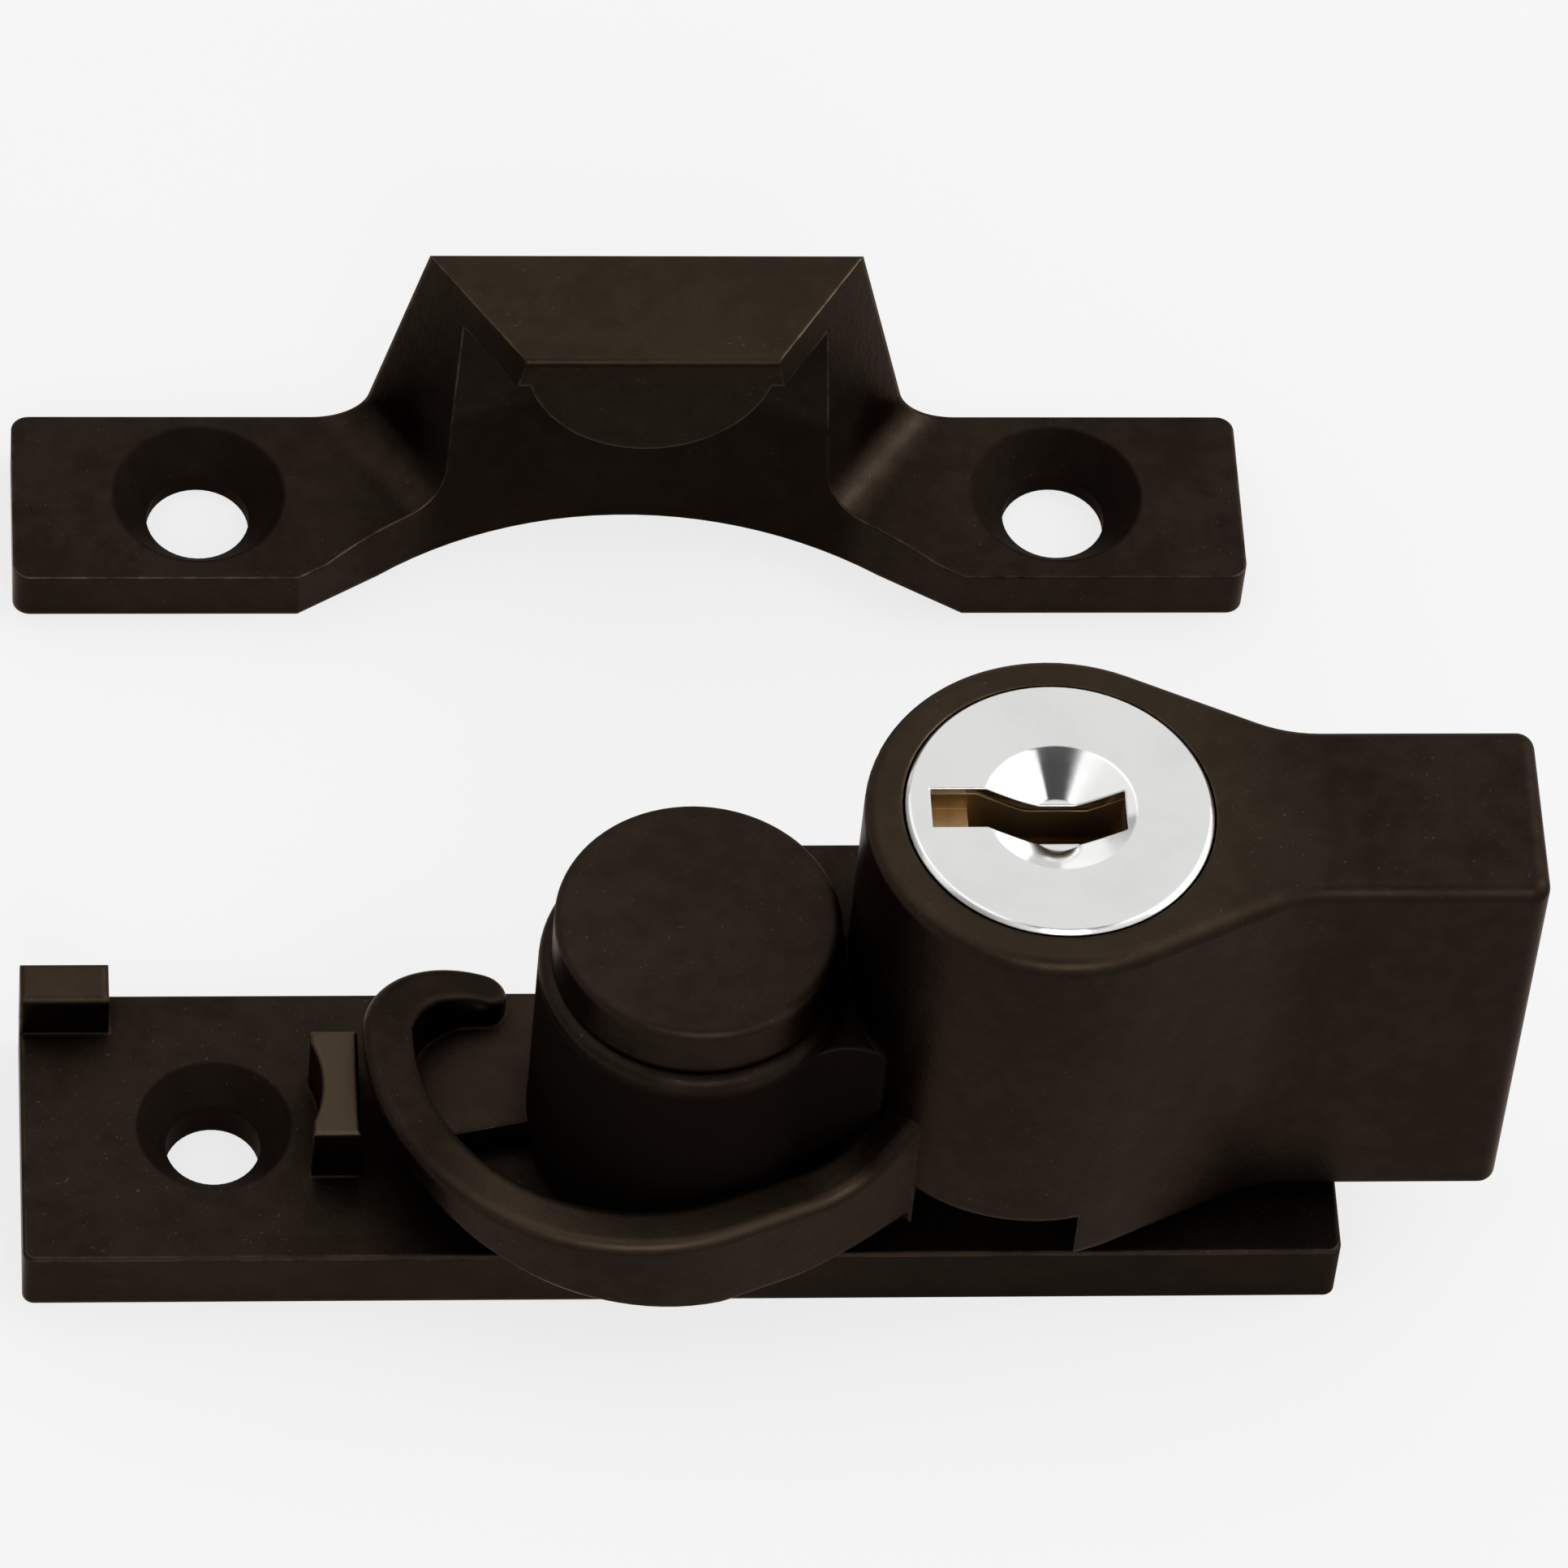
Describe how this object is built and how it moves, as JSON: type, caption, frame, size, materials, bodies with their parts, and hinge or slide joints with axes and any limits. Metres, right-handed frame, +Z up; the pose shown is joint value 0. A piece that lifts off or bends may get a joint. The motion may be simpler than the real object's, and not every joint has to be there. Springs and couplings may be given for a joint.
{
  "type": "window sash lock",
  "caption": "Key-locking cam fastener for a sliding sash window: base plate with a pivoted snail-cam arm that holds a lock barrel, and a separate hooded keeper.",
  "frame": {"origin": "on the pivot axis at the underside of the base plate, midway between its two screw holes", "axes": "+X along the base plate towards the thumb block of the open arm, +Y towards the keeper, +Z up away from the sash rail"},
  "size_m": [0.0727, 0.0571, 0.0297],
  "materials": {
    "bronze": "dark oil-rubbed bronze, satin, worn brown on the edges",
    "chrome": "bright chrome plate",
    "brass": "plain machined brass",
    "washer_steel": "zinc-plated steel"
  },
  "bodies": {
    "base": {"base_plate": "bronze", "pivot_post": "bronze", "thrust_washer": "washer_steel", "spring_washer": "washer_steel", "keeper": "bronze"},
    "arm": {"locking_arm": "bronze", "lock_housing": "brass", "seam_pin": "washer_steel"},
    "plug": {"lock_plug": "brass", "face_cap": "chrome", "lock_cam": "washer_steel", "cam_screw": "washer_steel", "wafer_spring_1": "washer_steel", "wafer_spring_2": "washer_steel", "wafer_spring_3": "washer_steel", "wafer_spring_4": "washer_steel"},
    "wafer_1": {"wafer_1": "brass"},
    "wafer_2": {"wafer_2": "brass"},
    "wafer_3": {"wafer_3": "brass"},
    "wafer_4": {"wafer_4": "brass"}
  },
  "joints": [
    {"name": "arm_swing", "type": "hinge", "parent": "base", "child": "arm", "pos_m": [0, 0, 0], "axis": [0, 0, -1], "range_deg": [0, 180]},
    {"name": "key_turn", "type": "hinge", "parent": "arm", "child": "plug", "pos_m": [0.0168, 0, 0], "axis": [0, 0, -1], "range_deg": [0, 90]},
    {"name": "wafer_1_slide", "type": "slide", "parent": "plug", "child": "wafer_1", "axis": [-1, 0, 0], "range_m": [0, 0.0005]},
    {"name": "wafer_2_slide", "type": "slide", "parent": "plug", "child": "wafer_2", "axis": [-1, 0, 0], "range_m": [0, 0.0005]},
    {"name": "wafer_3_slide", "type": "slide", "parent": "plug", "child": "wafer_3", "axis": [-1, 0, 0], "range_m": [0, 0.0005]},
    {"name": "wafer_4_slide", "type": "slide", "parent": "plug", "child": "wafer_4", "axis": [-1, 0, 0], "range_m": [0, 0.0005]}
  ]
}
